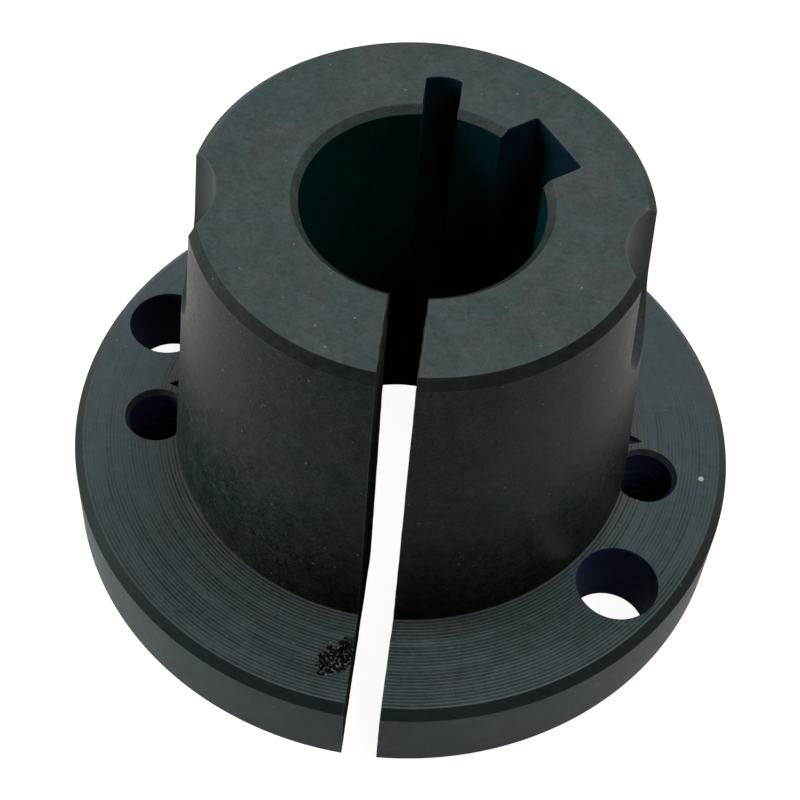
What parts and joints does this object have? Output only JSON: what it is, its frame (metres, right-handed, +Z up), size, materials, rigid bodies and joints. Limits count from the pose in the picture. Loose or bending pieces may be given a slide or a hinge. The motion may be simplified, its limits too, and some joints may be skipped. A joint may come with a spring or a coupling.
{
  "type": "taper bush",
  "caption": "Split, flanged taper bush with a keyed shaft bore, a relief slot opposite the split, plain and tapped flange holes and a scalloped small end.",
  "frame": {"origin": "centre of the flange's back face, on the bore's axis", "axes": "+Z up the bore towards the small end, the split opens towards -Y"},
  "size_m": [0.076, 0.076, 0.048],
  "materials": {
    "blackened_iron": "matt black conversion coating over turned and ground faces"
  },
  "bodies": {
    "root": {"taper_bush": "blackened_iron"}
  },
  "joints": []
}
